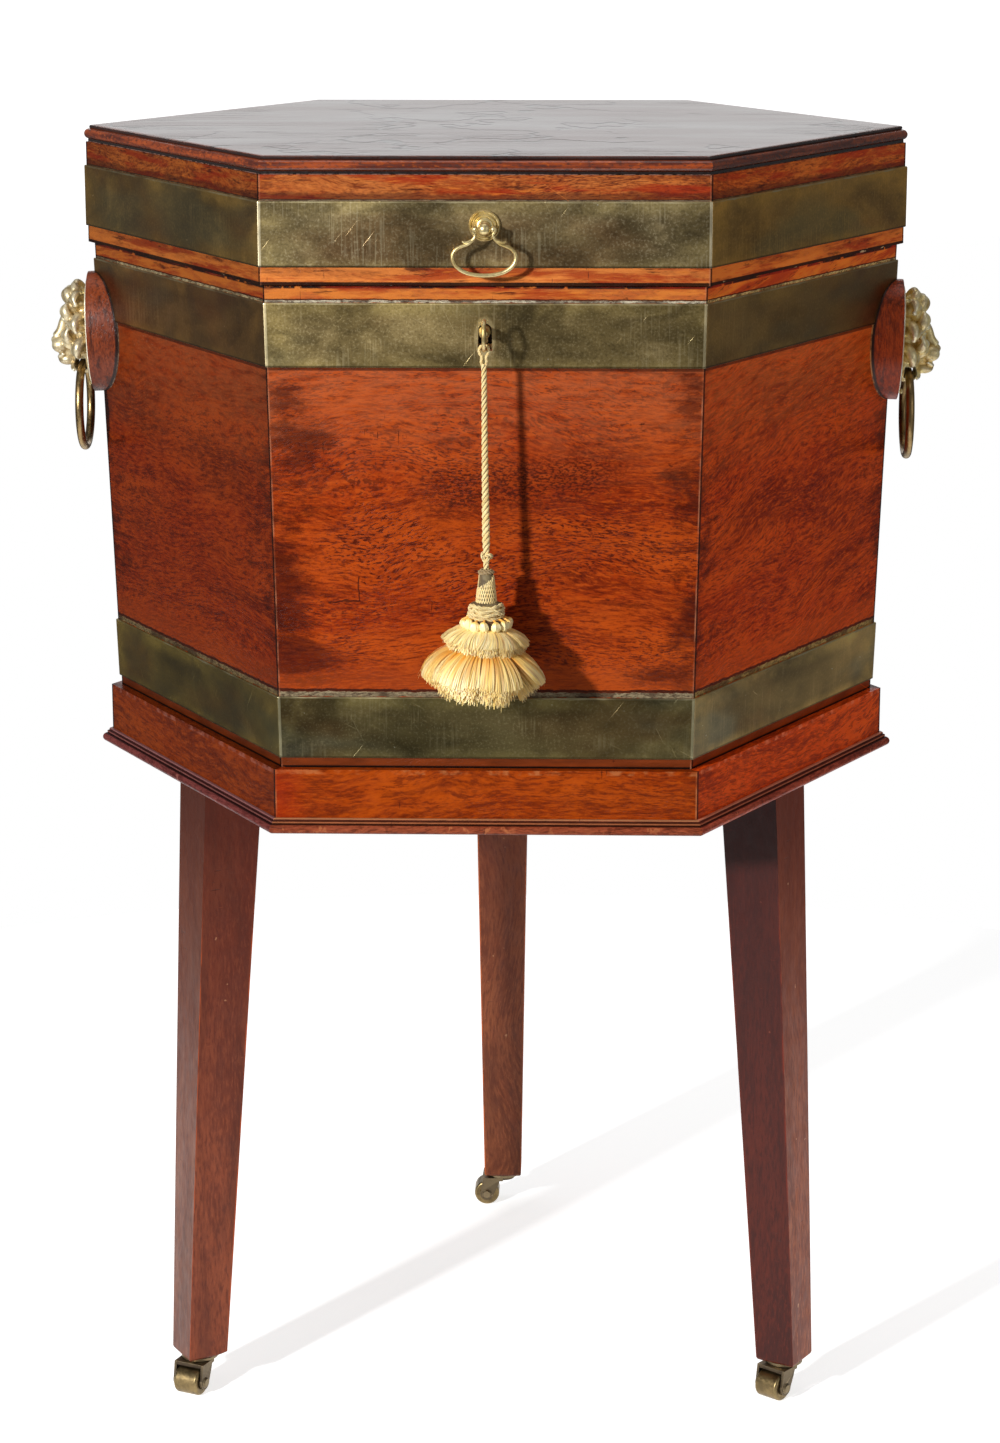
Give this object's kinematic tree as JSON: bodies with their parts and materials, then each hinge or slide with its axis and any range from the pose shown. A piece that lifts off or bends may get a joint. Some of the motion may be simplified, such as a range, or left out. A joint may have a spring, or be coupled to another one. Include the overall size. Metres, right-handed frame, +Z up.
{
  "type": "cellarette",
  "caption": "Hexagonal brass-bound mahogany cellarette with hinged lid, lock and key, lion mask rings, on a splayed stand with casters.",
  "frame": {"origin": "on the floor under the middle of the whole", "axes": "+Z up, front with the keyhole towards -Y, handles on the X axis"},
  "size_m": [0.5009, 0.4552, 0.7171],
  "materials": {
    "mahogany": "French-polished mahogany, orange-red with smoky edges",
    "leg_mahogany": "dark polished mahogany",
    "carcase_wood": "plain unpolished pine",
    "lid_top": "dark high-gloss mahogany",
    "lead": "dull sheet lead",
    "band_brass": "old tarnished brass",
    "bright_brass": "polished gilt brass",
    "old_brass": "dark antique brass",
    "screw_steel": "plain steel",
    "pin_steel": "ground steel",
    "silk": "cream and gold silk"
  },
  "bodies": {
    "cabinet": {"stand_rails": "mahogany", "stand_moulding": "leg_mahogany", "stand_board": "carcase_wood", "glue_blocks": "carcase_wood", "leg_screws": "screw_steel", "leg_left": "leg_mahogany", "leg_right": "leg_mahogany", "leg_rear": "leg_mahogany", "caster_plates": "old_brass", "caster_screws": "old_brass", "front_panel": "mahogany", "side_panels": "mahogany", "case_bottom": "carcase_wood", "upper_band": "band_brass", "lower_band": "band_brass", "liner": "lead", "division_post": "carcase_wood", "divisions": "carcase_wood", "lock_case": "bright_brass", "lock_screws": "old_brass", "pad_left": "mahogany", "pad_right": "mahogany", "mask_left": "bright_brass", "mask_right": "bright_brass", "mask_pins": "bright_brass", "case_leaves": "old_brass", "hinge_pins": "pin_steel", "case_leaf_screws": "old_brass"},
    "lid": {"top_board": "lid_top", "lid_sides": "mahogany", "lid_band": "band_brass", "strike": "bright_brass", "strike_screws": "old_brass", "rose": "bright_brass", "bail_post": "bright_brass", "lid_leaves": "old_brass", "lid_leaf_screws": "old_brass"},
    "bail": {"bail": "bright_brass"},
    "ring_left": {"ring_left": "old_brass"},
    "ring_right": {"ring_right": "old_brass"},
    "key": {"key": "bright_brass"},
    "lock_bolt": {"lock_bolt": "old_brass"},
    "tassel": {"cord_loop": "silk", "cord": "silk", "tassel_knot": "silk", "tassel_head": "silk", "tassel_collar": "silk", "tassel_balls": "silk", "upper_skirt": "silk", "lower_skirt": "silk"},
    "caster_left": {"fork_left": "old_brass", "axle_left": "pin_steel"},
    "caster_right": {"fork_right": "old_brass", "axle_right": "pin_steel"},
    "caster_rear": {"fork_rear": "old_brass", "axle_rear": "pin_steel"},
    "roller_left": {"roller_left": "old_brass"},
    "roller_right": {"roller_right": "old_brass"},
    "roller_rear": {"roller_rear": "old_brass"}
  },
  "joints": [
    {"name": "lid_hinge", "type": "hinge", "parent": "cabinet", "child": "lid", "pos_m": [0, 0.20999, 0.6517], "axis": [-1, 0, 0], "range_deg": [0, 95]},
    {"name": "bail_swing", "type": "hinge", "parent": "lid", "child": "bail", "pos_m": [0, -0.20109, 0.6818], "axis": [-1, 0, 0], "range_deg": [-20, 150]},
    {"name": "ring_left_swing", "type": "hinge", "parent": "cabinet", "child": "ring_left", "pos_m": [-0.23369, 0.008, 0.58416], "axis": [0, 1, 0], "range_deg": [0, 90]},
    {"name": "ring_right_swing", "type": "hinge", "parent": "cabinet", "child": "ring_right", "pos_m": [0.23357, 0.008, 0.58066], "axis": [0, -1, 0], "range_deg": [0, 90]},
    {"name": "key_turn", "type": "hinge", "parent": "cabinet", "child": "key", "pos_m": [0, -0.20819, 0.629], "axis": [0, 1, 0], "range_deg": [0, 90]},
    {"name": "bolt_throw", "type": "slide", "parent": "cabinet", "child": "lock_bolt", "axis": [-1, 0, 0], "range_m": [0, 0.006]},
    {"name": "tassel_hang", "type": "hinge", "parent": "key", "child": "tassel", "pos_m": [0, -0.20819, 0.6216], "axis": [0, -1, 0], "range_deg": [0, 90]},
    {"name": "caster_left_swivel", "type": "hinge", "parent": "cabinet", "child": "caster_left", "pos_m": [-0.16904, -0.08959, 0.021], "axis": [0, 0, 1], "continuous": true},
    {"name": "caster_left_roll", "type": "hinge", "parent": "caster_left", "child": "roller_left", "pos_m": [-0.17331, -0.09919, 0.008], "axis": [0.9135, -0.4067, 0], "continuous": true},
    {"name": "caster_right_swivel", "type": "hinge", "parent": "cabinet", "child": "caster_right", "pos_m": [0.16904, -0.08959, 0.021], "axis": [0, 0, 1], "continuous": true},
    {"name": "caster_right_roll", "type": "hinge", "parent": "caster_right", "child": "roller_right", "pos_m": [0.16243, -0.09775, 0.008], "axis": [0.7771, -0.6293, 0], "continuous": true},
    {"name": "caster_rear_swivel", "type": "hinge", "parent": "cabinet", "child": "caster_rear", "pos_m": [0, 0.20319, 0.021], "axis": [0, 0, 1], "continuous": true},
    {"name": "caster_rear_roll", "type": "hinge", "parent": "caster_rear", "child": "roller_rear", "pos_m": [-0.0105, 0.20319, 0.008], "axis": [0, -1, 0], "continuous": true}
  ],
  "couplings": [
    {"joint": "bolt_throw", "follows": "key_turn", "m_per_rad": 0.0038197},
    {"joint": "tassel_hang", "follows": "key_turn", "ratio": 1}
  ]
}
